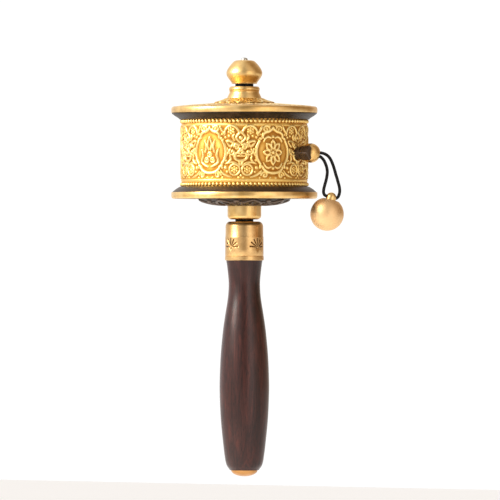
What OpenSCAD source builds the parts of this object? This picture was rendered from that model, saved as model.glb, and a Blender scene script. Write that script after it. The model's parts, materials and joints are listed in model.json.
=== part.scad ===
// Hand-held prayer wheel: a turned wooden grip, a drum that spins on a steel spindle between
// two small ball bearings, and a weight on a looped cord that keeps the drum turning.
// Heights named z_ or height are measured up from the butt of the end cap. The origin is on the
// axis at the thickest section of the grip, +Z runs up the spindle and +X points at the cord boss.

/* [Grip] */
// Height of the grip's thickest section above the butt, where the origin lies
grip_datum = 51; // [48:0.5:54]
// Radius of the grip at its thickest section
grip_r = 13.55; // [13:0.05:14]
// Height of the brass dome that caps the butt
dome_height = 3.5; // [3:0.1:4]
// Radius of the dome's rim
dome_r = 7.3; // [6.5:0.1:7.6]
// Height of the shoulder where the ferrule starts
ferrule_base_z = 118.8; // [118:0.1:119.5]
// Height of the ferrule's flat top
ferrule_top_z = 140.2; // [139.8:0.1:140.4]
// Radius of the ferrule's engraved band
ferrule_r = 10.55; // [10.2:0.05:11]

/* [Spindle and bearings] */
// Radius of the spindle and of the bearings' bores
spindle_r = 3; // [3:0.01:3]
// Height of the lower bearing's lower face
lower_bearing_z = 142.3; // [142.2:0.05:142.4]
// Height of the upper bearing's lower face
upper_bearing_z = 208.4; // [208.3:0.05:208.5]
// Width of each bearing
bearing_width = 5; // [5:0.1:5]
// Outer radius of each bearing
bearing_r = 6.5; // [6.5:0.01:6.5]
// Radius of one bearing ball
ball_r = 0.95; // [0.9:0.01:0.95]
// Number of balls in each bearing
ball_count = 9; // [7:1:10]

/* [Drum] */
// Radius of the barrel's plain wall
barrel_r = 35; // [34.8:0.1:35.2]
// Thickness of the barrel's wall
barrel_wall = 1.4; // [1:0.1:1.5]
// Height of the barrel's lower edge
barrel_base_z = 159.3; // [159.2:0.1:159.4]
// Height of the barrel's upper edge
barrel_top_z = 196.3; // [196:0.1:196.5]
// Radius of the polished rim bands
rim_r = 40.2; // [39.8:0.1:40.6]
// Height of the bottom rim band
rim_height = 3.6; // [3.4:0.1:3.8]
// Height of the top rim band
top_rim_height = 3.5; // [3.3:0.1:3.5]
// Radius of one bead in the two beaded rows
bead_row_r = 1.2; // [1:0.05:1.2]
// Outer radius of the rolled paper inside the drum
scroll_r = 27; // [20:0.5:27]

/* [Cord and weight] */
// Height of the boss that the cord comes out of
boss_z = 177.6; // [176:0.1:179]
// Radius of the round bead beside the boss
cord_bead_r = 5.35; // [5.25:0.05:5.35]
// Diameter of the cord
cord_d = 1.7; // [1.5:0.1:1.7]
// Radius of the ball weight
weight_r = 9.2; // [8.8:0.1:9.4]
// Lean of the weight away from upright, in degrees
weight_lean = 14.5; // [14.5:0.5:14.5]

/* [Hidden] */
$fn = 96;
grip_base_z = dome_height;
grip_length = ferrule_base_z - grip_base_z;
tenon_r = 8.6;
tenon_top_z = ferrule_top_z - 3.2;
pommel_r = 5;
pommel_top_z = 15;
spindle_base_z = 7;
spindle_shoulder_z = 218.5;
spindle_tip_z = 229.4;
tip_r = 1.8;
pitch_r = 4.75;
groove_r = 1;
inner_race_r = 4.15;
outer_race_bore_r = 5.35;
shoulder_bore_r = 5.2;
stem_r = 7.9;
spacer_tube_r = 4;
spacer_r = 5;
barrel_bore_r = barrel_r - barrel_wall;
spigot_r = barrel_bore_r;
spigot_bore_r = spigot_r - 2;
spigot_height = 3;
rim_seat_r = 38.9;
bottom_face_z = 152.8;
bottom_rim_z = 152.7;
top_face_z = 205.2;
hub_base_z = 141.3;
hub_r = 9.27;
hub_flange_z = 149;
hub_stem_top_z = 162;
collar_stem_base_z = 197;
collar_base_z = 208.1;
collar_top_z = 214.4;
nut_height = 3;
nut_r = 11.5;
core_r = 9;
finial_base_z = 215.9;
finial_r = 9.87;
top_rim_z = 199.9;
boss_stem_r = 3.3;
boss_half = 4.1;
boss_base_x = 37.3;
boss_end_x = 43;
boss_flat_y = 2.2;
bead_x = 40.1;
bead_y = 4.9;
cord_turn = 45;
mouth_z = boss_z - 0.7;
strand_gap = 1.76;
strand_end = 3;
eye_hole_r = 0.95;
eye_rise = 9.5;
eye_s = 11.58;
eye_z = 153.4;

// The grip's outline: each row is a fraction of its length and a fraction of its largest radius.
grip_outline = [
    [0, 0.587], [0.007, 0.626], [0.0165, 0.686], [0.031, 0.739], [0.059, 0.787], [0.126, 0.858],
    [0.241, 0.9535], [0.355, 0.998], [0.4315, 1], [0.546, 0.96], [0.6605, 0.871], [0.737, 0.78],
    [0.813, 0.677], [0.863, 0.6395], [0.906, 0.6395], [0.966, 0.6915], [1, 0.734]
];

// The finial's outline: each row is a radius and a height above the butt.
finial_outline = [
    [7.1, 216.5], [7.6, 217.3], [8.35, 218.3], [9.1, 219.4], [9.65, 220.45], [9.87, 221.6],
    [9.75, 222.7], [9.3, 223.8], [8.65, 224.9], [7.85, 226], [6.95, 227.05], [5.9, 228.1]
];

// The free cord's centreline in the cord's own plane, from the bead's mouth, down through the
// weight's eye and back up. Each row is the distance from the bead's centre and the height.
cord_route = [
    [3, 177.78], [4.6, 177.8], [6.3, 177.6], [8, 177.1], [9.6, 176.1], [10.9, 174.6], [11.9, 172.7],
    [12.8, 170.4], [13.5, 168.2], [14.1, 166], [14.8, 163.8], [15.4, 161.7], [16, 159.6],
    [16.3, 157.6], [16.2, 155.7], [15.5, 153.8], [14.3, 152.8], [12.9, 153.06], [11.58, 153.4],
    [10.3, 153.73], [8.9, 154.1], [7.8, 154.7], [7.25, 156], [7.35, 157.7], [7.9, 160],
    [8.6, 162.4], [9.1, 164.8], [9.35, 167.2], [9.1, 169.4], [8.4, 171.6], [7.4, 173.6],
    [6.1, 175.1], [4.6, 175.95], [3, 176.02]
];

// Places what was drawn by height above the butt so that the origin lies at the grip's datum.
module from_butt() {
    translate([0, 0, -grip_datum]) children();
}

// Points of an arc about [x, z], from angle a to angle b, with radii rx and rz.
function arc(x, z, rx, rz, a, b, steps) = [
    for (i = [0 : steps])
        let (t = a + (b - a) * i / steps)
        [x + rx * cos(t), z + rz * sin(t)]
];

// A smooth curve through the points p, with the given number of steps between neighbours.
function smooth(p, steps) = [
    for (i = [0 : len(p) - 2], k = [0 : steps - 1])
        let (
            t = k / steps,
            before = p[max(i - 1, 0)],
            after = p[min(i + 2, len(p) - 1)],
            pull = (p[i + 1] - before) / 2,
            push = (after - p[i]) / 2
        )
        (2 * t ^ 3 - 3 * t ^ 2 + 1) * p[i] + (t ^ 3 - 2 * t ^ 2 + t) * pull
        + (3 * t ^ 2 - 2 * t ^ 3) * p[i + 1] + (t ^ 3 - t ^ 2) * push,
    p[len(p) - 1]
];

module tube(r_in, r_out, z, height) {
    rotate_extrude()
        translate([r_in, z])
            square([r_out - r_in, height]);
}

module hex_nut(r_in, r_out, z, height) {
    difference() {
        translate([0, 0, z])
            cylinder(r = r_out, h = height, $fn = 6);
        translate([0, 0, z - 1])
            cylinder(r = r_in, h = height + 2);
    }
}

// Lays a shape drawn along +Z on the boss's axis, along +X, its zero at distance x from the spindle.
module along_boss(x) {
    translate([x, 0, boss_z])
        rotate([0, 90, 0])
            children();
}

// Places what was drawn by distance from the bead's centre, along +X, in the cord's own plane.
module in_cord_plane() {
    translate([bead_x, bead_y, 0])
        rotate([0, 0, cord_turn])
            children();
}

// Turns a shape drawn about the ball's centre to the weight's lean.
module in_weight() {
    in_cord_plane()
        translate([eye_s, 0, eye_z])
            rotate([0, weight_lean, 0])
                translate([0, 0, -eye_rise])
                    children();
}

// Room for the cord's two strands, from distance s along the cord's plane, with radii r1 and r2.
module strand_room(s, length, r1, r2) {
    in_cord_plane()
        for (side = [-1, 1])
            translate([s, 0, mouth_z + side * strand_gap / 2])
                rotate([0, 90, 0])
                    cylinder(r1 = r1, r2 = r2, h = length);
}

// ---- Handle ----

module handle_grip() {
    outline = [for (p = smooth(grip_outline, 4)) [grip_r * p[1], grip_base_z + grip_length * p[0]]];
    from_butt() color("saddlebrown")
        difference() {
            rotate_extrude()
                polygon(concat(
                    [[0, grip_base_z]], outline,
                    [[tenon_r, ferrule_base_z], [tenon_r, tenon_top_z], [0, tenon_top_z]]
                ));
            cylinder(r = spindle_r, h = ferrule_top_z);
            cylinder(r = pommel_r, h = pommel_top_z);
        }
}

module ferrule() {
    shoulder_r = ferrule_r - 0.18;
    from_butt() color("goldenrod")
        difference() {
            rotate_extrude()
                polygon(concat(
                    [
                        [0, ferrule_base_z], [ferrule_r, ferrule_base_z],
                        [ferrule_r + 0.12, ferrule_base_z + 0.4],
                        [ferrule_r + 0.12, ferrule_base_z + 2.3], [ferrule_r - 0.15, ferrule_base_z + 2.7],
                        [ferrule_r - 0.15, ferrule_base_z + 6], [ferrule_r, ferrule_base_z + 6.3],
                        [ferrule_r, ferrule_base_z + 12.8], [shoulder_r, ferrule_base_z + 13.1]
                    ],
                    arc(shoulder_r - 2.4, ferrule_top_z - 3.2, 2.4, 3.2, 0, 90, 8),
                    [[0, ferrule_top_z]]
                ));
            translate([0, 0, ferrule_base_z - 1])
                cylinder(r = tenon_r, h = tenon_top_z - ferrule_base_z + 1);
            cylinder(r = spindle_r, h = ferrule_top_z + 1);
        }
}

module spindle() {
    from_butt() color("silver")
        rotate_extrude()
            polygon(concat(
                [
                    [0, spindle_base_z], [spindle_r, spindle_base_z],
                    [spindle_r, spindle_shoulder_z], [tip_r, spindle_shoulder_z]
                ],
                arc(0, spindle_tip_z, tip_r, 1, 0, 90, 6)
            ));
}

module end_cap() {
    sphere_r = (dome_r ^ 2 + dome_height ^ 2) / (2 * dome_height);
    from_butt() color("goldenrod")
        difference() {
            union() {
                intersection() {
                    translate([0, 0, sphere_r]) sphere(r = sphere_r);
                    cylinder(r = dome_r + 1, h = dome_height);
                }
                cylinder(r = pommel_r, h = pommel_top_z);
            }
            difference() {
                cylinder(r = pommel_r + 1, h = dome_height);
                translate([0, 0, sphere_r]) sphere(r = sphere_r);
            }
            translate([0, 0, spindle_base_z])
                cylinder(r = spindle_r, h = pommel_top_z);
        }
}

module finial() {
    from_butt() color("gold")
        difference() {
            rotate_extrude()
                polygon(concat(
                    [[0, finial_base_z], [6.9, finial_base_z], [7.1, finial_base_z + 0.25]],
                    smooth(finial_outline, 3),
                    [[5.2, 228.55], [4.2, 228.8], [2.6, 229], [0, 229]]
                ));
            translate([0, 0, finial_base_z - 1])
                cylinder(r = spindle_r, h = spindle_shoulder_z - finial_base_z + 1.5);
            cylinder(r = tip_r, h = 240);
        }
}

// ---- Spacers and bearings ----

module lower_spacer() {
    from_butt() color("black")
        union() {
            tube(spindle_r, spacer_r, ferrule_top_z, 1.7);
            tube(spindle_r, inner_race_r - 0.05, ferrule_top_z, lower_bearing_z - ferrule_top_z);
        }
}

module upper_spacer() {
    race_top_z = upper_bearing_z + bearing_width;
    from_butt() color("black")
        union() {
            tube(spindle_r, inner_race_r - 0.05, race_top_z, 1);
            tube(spindle_r, spacer_r, race_top_z + 0.5, finial_base_z - race_top_z - 0.5);
        }
}

module spacer_tube() {
    base_z = lower_bearing_z + bearing_width;
    from_butt() color("silver")
        tube(spindle_r, spacer_tube_r, base_z, upper_bearing_z - base_z);
}

module inner_race(z) {
    from_butt() color("silver")
        rotate_extrude()
            difference() {
                translate([spindle_r, z])
                    square([inner_race_r - spindle_r, bearing_width]);
                translate([pitch_r, z + bearing_width / 2])
                    circle(r = groove_r);
            }
}

module outer_race(z) {
    from_butt() color("silver")
        rotate_extrude()
            difference() {
                translate([outer_race_bore_r, z])
                    square([bearing_r - outer_race_bore_r, bearing_width]);
                translate([pitch_r, z + bearing_width / 2])
                    circle(r = groove_r);
            }
}

module balls(z) {
    from_butt() color("lightgray")
        for (i = [0 : ball_count - 1])
            rotate([0, 0, i * 360 / ball_count])
                translate([pitch_r, 0, z + bearing_width / 2])
                    sphere(r = ball_r);
}

module cage(z) {
    height = 2.6;
    from_butt() color("goldenrod")
        difference() {
            tube(pitch_r - 0.4, pitch_r + 0.4, z + (bearing_width - height) / 2, height);
            for (i = [0 : ball_count - 1])
                rotate([0, 0, i * 360 / ball_count])
                    translate([pitch_r - 1, 0, z + bearing_width / 2])
                        rotate([0, 90, 0])
                            cylinder(r = groove_r, h = 2);
        }
}

module shields(z) {
    thickness = 0.25;
    inset = 0.15;
    from_butt() color("silver")
        for (base = [z + inset, z + bearing_width - inset - thickness])
            tube(inner_race_r + 0.2, outer_race_bore_r, base, thickness);
}

// ---- Drum ----

module drum_barrel() {
    from_butt() color("darkgoldenrod")
        difference() {
            tube(barrel_bore_r, barrel_r, barrel_base_z, barrel_top_z - barrel_base_z);
            along_boss(barrel_bore_r - 3)
                cylinder(r = boss_stem_r, h = 8);
        }
}

module bead_ring(z) {
    from_butt() color("gold")
        rotate_extrude()
            intersection() {
                translate([barrel_r - 0.5, z])
                    circle(r = bead_row_r);
                translate([barrel_r, z - 2])
                    square(4);
            }
}

// A rim band's section about its face next to the barrel, with its far edge rounded over.
function rim_section(height) = concat(
    [[rim_seat_r, 0], [rim_r - 0.3, 0], [rim_r, 0.35]],
    arc(rim_seat_r + 0.1, height - 1.6, rim_r - rim_seat_r - 0.1, 1.6, 0, 90, 10),
    [[rim_seat_r, height]]
);

module top_rim_band() {
    from_butt() color("gold")
        rotate_extrude()
            translate([0, top_rim_z])
                polygon(rim_section(top_rim_height));
}

module bottom_rim_band() {
    from_butt() color("gold")
        rotate_extrude()
            translate([0, bottom_rim_z + rim_height])
                mirror([0, 1])
                    polygon(rim_section(rim_height));
}

module top_cover() {
    from_butt() color("dimgray")
        rotate_extrude()
            polygon([
                [stem_r, top_face_z], [17.5, top_face_z], [21.8, 204.85], [28.6, 204.4],
                [34.1, 203.95], [37.4, 203.6], [rim_seat_r, 203.4], [rim_seat_r, top_rim_z],
                [39.8, top_rim_z], [39.9, 199.6], [39.3, 199], [38.1, 198.1], [36.4, 197.1],
                [35.6, barrel_top_z], [spigot_r, barrel_top_z],
                [spigot_r, barrel_top_z - spigot_height], [spigot_bore_r, barrel_top_z - spigot_height],
                [spigot_bore_r, 198], [35, 200.6], [26, 202.2], [14, 202.8], [stem_r, 202.8]
            ]);
}

module lotus_ring() {
    from_butt() color("gold")
        rotate_extrude()
            polygon([
                [stem_r, top_face_z], [16.8, top_face_z], [16.6, 205.7], [15.5, 206.1], [13.3, 206.7],
                [11.7, 207.2], [10.8, 207.8], [9.9, collar_base_z], [stem_r, collar_base_z]
            ]);
}

module top_collar() {
    from_butt() color("gold")
        rotate_extrude()
            polygon([
                [shoulder_bore_r, collar_stem_base_z], [stem_r, collar_stem_base_z],
                [stem_r, collar_base_z], [9.5, collar_base_z], [9.15, 208.9], [8.65, 210],
                [8.1, 211], [8.1, 211.7], [8.42, 212.3], [8.47, 213.3], [8.3, 213.9],
                [7.6, collar_top_z], [bearing_r, collar_top_z], [bearing_r, upper_bearing_z],
                [shoulder_bore_r, upper_bearing_z]
            ]);
}

module collar_nut() {
    from_butt() color("goldenrod")
        hex_nut(stem_r, nut_r, 202.8 - nut_height, nut_height);
}

module bottom_cover() {
    floor_z = bottom_face_z + 1.8;
    from_butt() color("dimgray")
        rotate_extrude()
            polygon([
                [stem_r, bottom_face_z], [rim_seat_r, bottom_face_z], [rim_seat_r, 156.3],
                [39.5, 156.3], [39.4, 156.6], [38, 157.8], [36.5, 158.8],
                [35.6, barrel_base_z], [spigot_r, barrel_base_z],
                [spigot_r, barrel_base_z + spigot_height], [spigot_bore_r, barrel_base_z + spigot_height],
                [spigot_bore_r, 157.6], [28.5, floor_z], [stem_r, floor_z]
            ]);
}

module underside_rosette() {
    from_butt() color("dimgray")
        rotate_extrude()
            polygon([
                [stem_r, hub_flange_z], [10.2, hub_flange_z], [14, 149.1], [17.5, 149.4], [20.3, 150],
                [23.6, 151], [25.5, 151.9], [25.8, bottom_face_z], [stem_r, bottom_face_z]
            ]);
}

module bottom_hub() {
    corner = 2.2;
    bearing_top_z = lower_bearing_z + bearing_width;
    from_butt() color("gold")
        rotate_extrude()
            difference() {
                union() {
                    translate([0, hub_base_z])
                        square([hub_r - corner, hub_flange_z - hub_base_z]);
                    translate([0, hub_base_z + corner])
                        square([hub_r, hub_flange_z - hub_base_z - corner]);
                    translate([hub_r - corner, hub_base_z + corner])
                        circle(r = corner);
                    translate([0, hub_flange_z])
                        square([stem_r, hub_stem_top_z - hub_flange_z]);
                }
                translate([0, hub_base_z - 1])
                    square([bearing_r, bearing_top_z - hub_base_z + 1]);
                square([shoulder_bore_r, hub_stem_top_z + 1]);
            }
}

module hub_nut() {
    from_butt() color("goldenrod")
        hex_nut(stem_r, nut_r, bottom_face_z + 1.8, nut_height);
}

module core_tube() {
    base_z = bottom_face_z + 1.8 + nut_height;
    from_butt() color("burlywood")
        tube(stem_r, core_r, base_z, 202.8 - nut_height - base_z);
}

module mantra_scroll() {
    from_butt() color("cornsilk")
        tube(core_r, scroll_r, 160, 37);
}

module scroll_ties() {
    from_butt() color("firebrick")
        for (z = [168, 185])
            tube(scroll_r, scroll_r + 0.5, z, 3);
}

// ---- Boss, cord and weight ----

// A square block set on its corner, flat where the bead sits, on a round stem through the barrel.
module boss_shape() {
    translate([0, 0, boss_z])
        intersection() {
            translate([boss_base_x, 0, 0])
                rotate([0, 90, 0])
                    cylinder(r = boss_half, h = boss_end_x - boss_base_x, $fn = 4);
            translate([0, boss_flat_y - 20, -10])
                cube([60, 20, 20]);
        }
    along_boss(31.6)
        cylinder(r = boss_stem_r, h = boss_base_x - 31.6);
}

module cord_boss() {
    from_butt() color("dimgray")
        union() {
            boss_shape();
        }
}

module boss_nut() {
    from_butt() color("goldenrod")
        difference() {
            along_boss(barrel_bore_r - 1.8)
                cylinder(r = 4.6, h = 1.5, $fn = 6);
            along_boss(barrel_bore_r - 3)
                cylinder(r = boss_stem_r, h = 4);
        }
}

// A ball notched to fit over the boss, hollow for the knot, with a flared mouth for the strands.
module cord_bead() {
    from_butt() color("gold")
        difference() {
            translate([bead_x, bead_y, boss_z])
                rotate([90, 0, 0])
                    intersection() {
                        sphere(r = cord_bead_r);
                        translate([0, 0, -6])
                            cylinder(r = 6, h = 10.3);
                    }
            boss_shape();
            translate([bead_x, bead_y, boss_z])
                sphere(r = 2.6);
            strand_room(0, 8, 0.95, 0.95);
            strand_room(3.5, 2.2, 0.8, 1.9);
        }
}

module cord_knot() {
    from_butt() color([0.06, 0.06, 0.06])
        union() {
            translate([bead_x, bead_y, boss_z])
                sphere(r = 2.5);
            in_cord_plane()
                for (side = [-1, 1])
                    translate([0, 0, mouth_z + side * strand_gap / 2])
                        rotate([0, 90, 0])
                            cylinder(r = cord_d / 2, h = strand_end);
        }
}

// Direction of the route at point i, square to the tube's ring there.
function heading(p, i) =
    let (d = p[min(i + 1, len(p) - 1)] - p[max(i - 1, 0)])
    d / norm(d);

// The tube's rings about the route, each of the given number of sides.
function ring_points(p, r, sides) = [
    for (i = [0 : len(p) - 1], k = [0 : sides - 1])
        let (
            along = i == 0 ? [1, 0] : i == len(p) - 1 ? [-1, 0] : heading(p, i),
            out = r * cos((k + 0.5) * 360 / sides),
            across = r * sin((k + 0.5) * 360 / sides)
        )
        [p[i][0] + out * along[1], across, p[i][1] - out * along[0]]
];

module cord_loop() {
    sides = 8;
    rings = len(cord_route);
    walls = [
        for (i = [0 : rings - 2], k = [0 : sides - 1])
            let (a = i * sides, b = (i + 1) * sides, n = (k + 1) % sides)
            [a + k, b + k, b + n, a + n]
    ];
    from_butt() color([0.06, 0.06, 0.06])
        in_cord_plane()
            polyhedron(
                points = ring_points(cord_route, cord_d / 2, sides),
                faces = concat(
                    walls,
                    [[for (k = [0 : sides - 1]) k]],
                    [[for (k = [sides - 1 : -1 : 0]) (rings - 1) * sides + k]]
                )
            );
}

module weight_eye() {
    from_butt() color("goldenrod")
        in_weight()
            difference() {
                union() {
                    translate([0, 0, 7.4])
                        cylinder(r = 2.8, h = 2);
                    intersection() {
                        translate([0, 0, 9.4])
                            sphere(r = 2.8);
                        translate([0, 0, 9.4])
                            cylinder(r = 4, h = 4);
                    }
                    translate([0, 0, 3.5])
                        cylinder(r = 1.5, h = 4.5);
                }
                translate([-4, 0, eye_rise])
                    rotate([0, 90, 0])
                        cylinder(r = eye_hole_r, h = 8);
            }
}

module weight_ball() {
    flat_height = 8;
    from_butt() color("gold")
        in_weight()
            difference() {
                sphere(r = weight_r);
                translate([0, 0, flat_height])
                    cylinder(r = weight_r, h = weight_r);
                translate([0, 0, 7.4])
                    cylinder(r = 2.8, h = 2);
                translate([0, 0, 3.5])
                    cylinder(r = 1.5, h = 6);
            }
}

handle_grip();
ferrule();
spindle();
end_cap();
finial();
lower_spacer();
upper_spacer();
spacer_tube();
inner_race(lower_bearing_z);  // lower_inner_race
inner_race(upper_bearing_z);  // upper_inner_race
outer_race(lower_bearing_z);  // lower_outer_race
outer_race(upper_bearing_z);  // upper_outer_race
balls(lower_bearing_z);  // lower_balls
balls(upper_bearing_z);  // upper_balls
cage(lower_bearing_z);  // lower_cage
cage(upper_bearing_z);  // upper_cage
shields(lower_bearing_z);  // lower_shields
shields(upper_bearing_z);  // upper_shields
drum_barrel();
bead_ring(barrel_top_z - bead_row_r);  // upper_bead_ring
bead_ring(barrel_base_z + bead_row_r);  // lower_bead_ring
top_cover();
top_rim_band();
lotus_ring();
top_collar();
collar_nut();
bottom_cover();
bottom_rim_band();
underside_rosette();
bottom_hub();
hub_nut();
core_tube();
mantra_scroll();
scroll_ties();
cord_boss();
boss_nut();
cord_bead();
cord_knot();
cord_loop();
weight_eye();
weight_ball();
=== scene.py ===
"""A hand-held prayer wheel, dressed for its portrait.

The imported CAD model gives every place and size. Each turned part is spun again from its outline
with a finer edge, the drum gets its embossed relief, and the free cord gets its braid.
Lengths are metres unless a name ends in _mm, but relief is drawn in millimetres. The boss is on +X.
"""
import math

import bpy
import numpy as np
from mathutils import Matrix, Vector
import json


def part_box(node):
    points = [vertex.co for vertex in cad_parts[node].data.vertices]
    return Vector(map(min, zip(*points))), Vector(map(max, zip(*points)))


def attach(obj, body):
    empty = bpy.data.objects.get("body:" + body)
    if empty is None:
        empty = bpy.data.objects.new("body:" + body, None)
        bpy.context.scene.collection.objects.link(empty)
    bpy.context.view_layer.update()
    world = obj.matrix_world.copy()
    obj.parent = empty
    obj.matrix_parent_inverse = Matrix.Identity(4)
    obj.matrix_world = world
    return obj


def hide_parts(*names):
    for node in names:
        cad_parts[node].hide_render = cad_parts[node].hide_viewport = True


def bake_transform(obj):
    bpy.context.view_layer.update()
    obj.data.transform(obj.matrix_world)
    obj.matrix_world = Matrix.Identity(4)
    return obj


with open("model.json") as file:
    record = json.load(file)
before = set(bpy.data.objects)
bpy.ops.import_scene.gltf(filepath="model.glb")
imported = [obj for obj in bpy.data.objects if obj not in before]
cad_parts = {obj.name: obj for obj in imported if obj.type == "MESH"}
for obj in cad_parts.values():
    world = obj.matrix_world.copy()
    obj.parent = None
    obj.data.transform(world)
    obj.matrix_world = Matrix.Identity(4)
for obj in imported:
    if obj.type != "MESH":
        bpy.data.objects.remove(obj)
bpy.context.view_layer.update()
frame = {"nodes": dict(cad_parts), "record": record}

MM = 0.001
SEGMENTS = 256


# ---------------- places taken from the frame

def base(node):
    """The height of a CAD node's lowest point."""
    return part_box(node)[0].z


def top(node):
    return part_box(node)[1].z


def radius(node):
    """The outer radius of a CAD node turned about the spindle."""
    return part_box(node)[1].y


BARREL_R = radius("drum_barrel")
BARREL_BASE = base("drum_barrel")
BARREL_TOP = top("drum_barrel")
BUTT = base("end_cap")


def outline_of(rows_mm, start=BUTT):
    """Rows of (radius, height above start) in millimetres, as an outline in metres."""
    return [(r * MM, start + h * MM) for r, h in rows_mm]


# ---------------- camera

# Seen from above, the camera stands this far round from -Y, towards the boss.
VIEW_TURN = math.radians(33)
TOWARDS_CAMERA = Vector((math.sin(VIEW_TURN), -math.cos(VIEW_TURN), 0))
CAMERA_RIGHT = Vector((math.cos(VIEW_TURN), math.sin(VIEW_TURN), 0))


def make_camera():
    """A long lens, level and far off, so that the rims are seen edge on."""
    distance = 4.0
    seen_width = 275 * MM
    aside = 3.1 * MM
    height = 124.5 * MM
    aim = CAMERA_RIGHT * aside + Vector((0, 0, BUTT + height))
    data = bpy.data.cameras.new("camera")
    data.lens = data.sensor_width * distance / seen_width
    data.clip_start = 0.5
    data.clip_end = 20
    camera = bpy.data.objects.new("camera", data)
    bpy.context.scene.collection.objects.link(camera)
    camera.location = aim + TOWARDS_CAMERA * distance
    camera.rotation_euler = (-TOWARDS_CAMERA).to_track_quat("-Z", "Y").to_euler()
    bpy.context.scene.camera = camera


make_camera()


# ---------------- shader helpers

def add_node(tree, kind, inputs, **settings):
    """A shader node; each input, by name or number, takes a constant or a link from another node."""
    made = tree.nodes.new(kind)
    for key, value in settings.items():
        setattr(made, key, value)
    for key, value in inputs.items():
        if isinstance(value, bpy.types.NodeSocket):
            tree.links.new(value, made.inputs[key])
        else:
            made.inputs[key].default_value = value
    return made


def set_stops(ramp, stops):
    """Gives a colour ramp node its stops, each (position, colour)."""
    elements = ramp.color_ramp.elements
    while len(elements) < len(stops):
        elements.new(0.5)
    for element, (position, colour) in zip(elements, stops):
        element.position = position
        element.color = (*colour, 1)


class Shader:
    """A material with one Principled shader, and short calls that add nodes to it."""

    def __init__(self, name, **values):
        self.material = bpy.data.materials.new(name)
        self.material.use_nodes = True
        self.tree = self.material.node_tree
        self.surface = self.tree.nodes["Principled BSDF"]
        for socket, value in values.items():
            self.surface.inputs[socket.replace("_", " ")].default_value = value

    def node(self, kind, inputs=None, **settings):
        return add_node(self.tree, kind, inputs or {}, **settings)

    def place(self):
        return self.node("ShaderNodeTexCoord").outputs["Object"]

    def math(self, operation, a, b=0.0):
        return self.node("ShaderNodeMath", {0: a, 1: b}, operation=operation).outputs[0]

    def stretched(self, x, y, z):
        """The place with each axis scaled, for grain and brushed lines."""
        scaled = self.node("ShaderNodeMapping", {"Vector": self.place(), "Scale": (x, y, z)})
        return scaled.outputs["Vector"]

    def noise(self, vector, scale, detail=3.0, roughness=0.55, distortion=0.0):
        made = self.node("ShaderNodeTexNoise", {
            "Vector": vector, "Scale": scale, "Detail": detail,
            "Roughness": roughness, "Distortion": distortion,
        })
        return made.outputs["Fac"]

    def ramp(self, factor, stops):
        made = self.node("ShaderNodeValToRGB", {"Fac": factor})
        set_stops(made, stops)
        return made.outputs["Color"]

    def between(self, factor, low, high):
        """A factor of 0 to 1 spread from low to high."""
        made = self.node("ShaderNodeMapRange", {"Value": factor, "To Min": low, "To Max": high})
        return made.outputs["Result"]

    def mix(self, factor, a, b, blend="MIX"):
        inputs = {0: factor}
        for index, colour in ((6, a), (7, b)):
            inputs[index] = colour if isinstance(colour, bpy.types.NodeSocket) else (*colour, 1)
        return self.node("ShaderNodeMix", inputs, data_type="RGBA", blend_type=blend).outputs[2]

    def attribute(self, name):
        return self.node("ShaderNodeAttribute", attribute_name=name).outputs["Fac"]

    def round_lines(self, per_metre):
        """Fine lines that run round the spindle, as a lathe or a polishing wheel leaves them."""
        parts = self.node("ShaderNodeSeparateXYZ", {0: self.place()})
        across = self.math("POWER", parts.outputs["X"], 2.0)
        along = self.math("POWER", parts.outputs["Y"], 2.0)
        out = self.math("SQRT", self.math("ADD", across, along))
        line = self.node("ShaderNodeCombineXYZ", {"X": out, "Z": parts.outputs["Z"]})
        return self.noise(line.outputs[0], per_metre, 2.0, 0.7)

    def link(self, value, socket):
        self.tree.links.new(value, self.surface.inputs[socket])

    def bump(self, height, distance, strength):
        made = self.node("ShaderNodeBump", {"Height": height, "Distance": distance, "Strength": strength})
        self.link(made.outputs["Normal"], "Normal")


# ---------------- materials

GOLD_LIGHT = (0.84, 0.57, 0.24)
GOLD = (0.68, 0.41, 0.135)
SATIN_GOLD = (0.80, 0.53, 0.27)


def polished_brass(name, light=GOLD_LIGHT, deep=GOLD, roughness=0.31):
    """Bright brass with fine turning lines and faint cloudy tarnish.

    Where raised is 1 it has a satin finish of one even colour."""
    s = Shader(name, Metallic=1.0)
    cloud = s.noise(s.place(), 130.0, 4.0)
    satin = s.attribute("raised")
    s.link(s.mix(satin, s.ramp(cloud, [(0.35, deep), (0.62, light)]), SATIN_GOLD), "Base Color")
    turned = s.round_lines(2600.0)
    rough = s.between(s.math("MULTIPLY", cloud, turned), roughness * 0.75, roughness * 2.1)
    s.link(s.math("ADD", rough, s.math("MULTIPLY", satin, 0.16)), "Roughness")
    s.bump(turned, 0.012 * MM, 0.5)
    return s.material


def relief_gold():
    """Cast and gilded relief: bright on the raised work, orange-brown in the hollows from patina and painted
    shade, matted ground.
    """
    s = Shader("relief_gold", Metallic=1.0)
    raised = s.attribute("raised")
    cloud = s.noise(s.place(), 160.0, 4.0)
    # the ramp darkens the hollows beside the work: partly patina, partly painted shade
    colour = s.ramp(raised, [
        (0.0, (0.36, 0.145, 0.022)), (0.17, (0.60, 0.31, 0.06)), (0.32, (0.81, 0.54, 0.16)),
        (0.6, (0.83, 0.57, 0.18)), (1.0, (0.90, 0.70, 0.30)),
    ])
    tint = s.ramp(cloud, [(0.3, (0.86, 0.74, 0.60)), (0.65, (1.0, 1.0, 1.0))])
    s.link(s.mix(0.55, colour, tint, "MULTIPLY"), "Base Color")
    s.link(s.between(raised, 0.56, 0.36), "Roughness")
    punched = s.node("ShaderNodeTexVoronoi", {"Vector": s.place(), "Scale": 2100.0}).outputs["Distance"]
    matted = s.math("MULTIPLY", punched, s.between(raised, 1.0, 0.1))
    s.bump(matted, 0.10 * MM, 0.6)
    return s.material


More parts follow.
